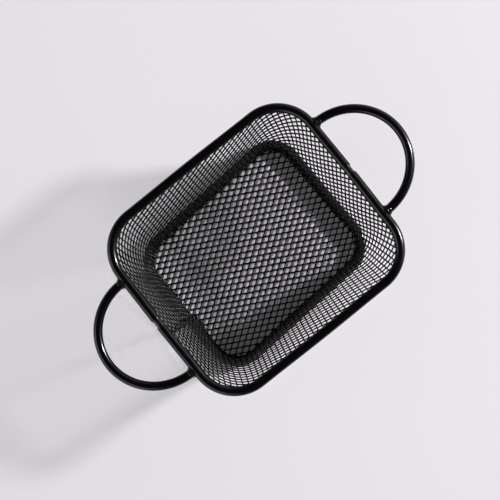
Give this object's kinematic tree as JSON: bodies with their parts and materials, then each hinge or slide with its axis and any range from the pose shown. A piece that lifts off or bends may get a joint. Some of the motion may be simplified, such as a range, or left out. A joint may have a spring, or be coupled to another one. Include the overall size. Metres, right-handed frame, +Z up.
{
  "type": "chip serving basket",
  "caption": "Tapered expanded-mesh serving basket with a slit-tube rim, a ring foot and a fixed wire loop handle at each end.",
  "frame": {"origin": "on the surface that the basket stands on, under the middle of its overall box", "axes": "+X along the long side towards the right handle, +Y along the short side, +Z up out of the basket's mouth"},
  "size_m": [0.1714, 0.1004, 0.05],
  "materials": {
    "painted_tube": "gloss black paint",
    "painted_mesh": "satin black paint",
    "painted_wire": "gloss black paint",
    "painted_weld": "gloss black paint"
  },
  "bodies": {
    "root": {"rim_half_front": "painted_tube", "rim_half_back": "painted_tube", "rim_joint_right": "painted_weld", "rim_joint_left": "painted_weld", "wall_mesh": "painted_mesh", "seam_weld_upper": "painted_weld", "seam_weld_lower": "painted_weld", "base_ring": "painted_tube", "base_mesh": "painted_mesh", "handle_right": "painted_wire", "handle_left": "painted_wire", "handle_weld_right_back": "painted_weld", "handle_weld_right_front": "painted_weld", "handle_weld_left_back": "painted_weld", "handle_weld_left_front": "painted_weld"}
  },
  "joints": []
}
